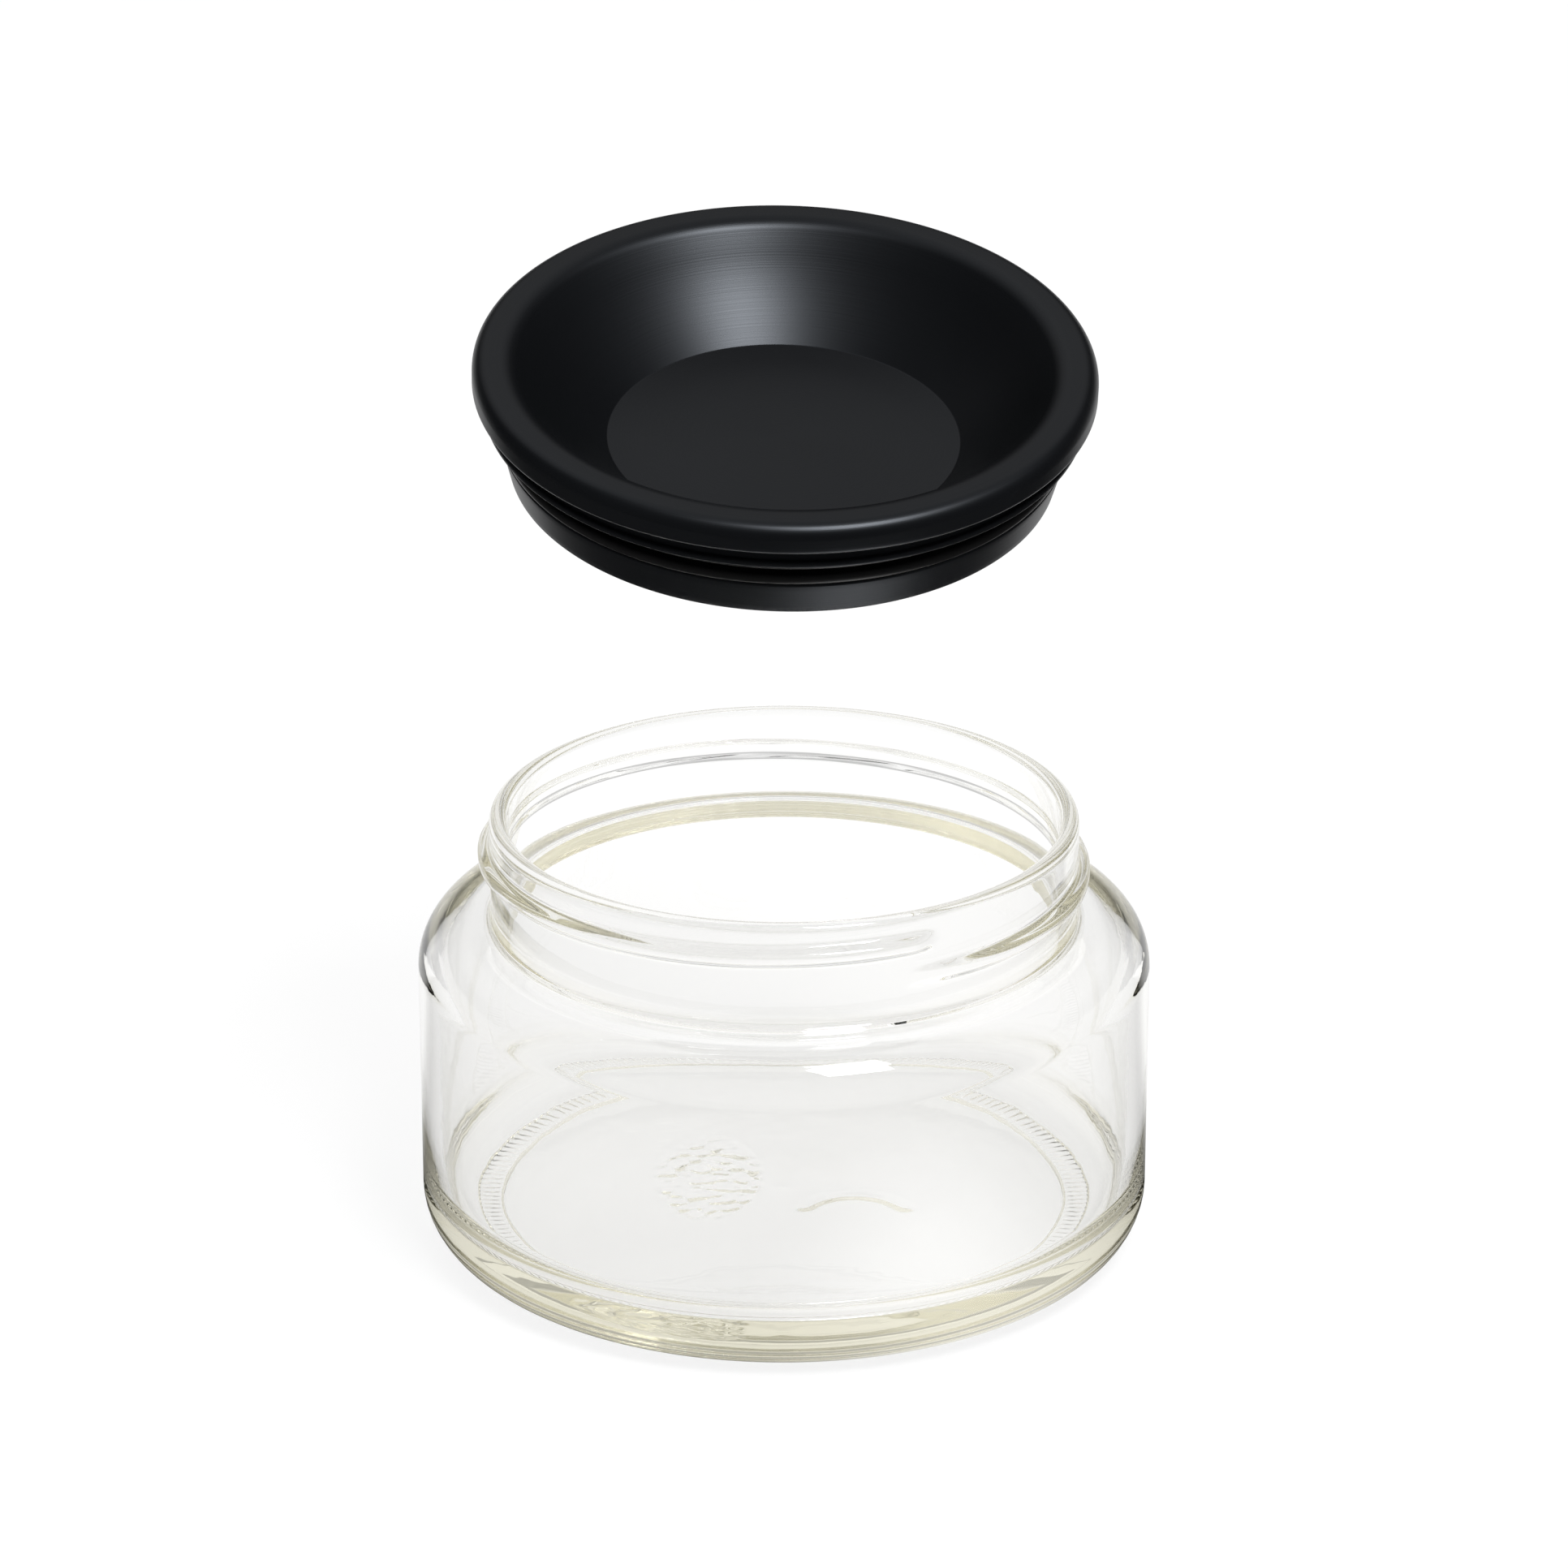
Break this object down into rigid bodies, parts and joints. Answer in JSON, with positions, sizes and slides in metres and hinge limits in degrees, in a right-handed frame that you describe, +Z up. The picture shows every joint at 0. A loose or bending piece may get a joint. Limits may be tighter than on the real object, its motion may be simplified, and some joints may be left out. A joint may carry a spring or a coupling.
{
  "type": "specimen jar",
  "caption": "Wide-mouth clear glass jar with a black turned dish lid that plugs the mouth on ring seals; the lid lifts off.",
  "frame": {"origin": "middle of the ring that the jar stands on, at the level of the surface it rests on", "axes": "+Z up along the jar's axis; -Y is the front, the side towards which the lifted lid is tipped; +X to the right seen from the front"},
  "size_m": [0.09, 0.0901, 0.1242],
  "materials": {
    "clear_glass": "polished, clear, faintly warm where it is thick",
    "black_anodised": "turned, satin black anodised",
    "black_rubber": "smooth matt black"
  },
  "bodies": {
    "jar": {"glass_jar": "clear_glass"},
    "lid": {"lid_dish": "black_anodised", "upper_seal": "black_rubber", "lower_seal": "black_rubber"}
  },
  "joints": [
    {"name": "lid_lift", "type": "hinge", "parent": "jar", "child": "lid", "pos_m": [0.02487, -0.23268, 0.048], "axis": [0.9942, 0.1063, 0.0148], "range_deg": [-13.6, 6]}
  ]
}
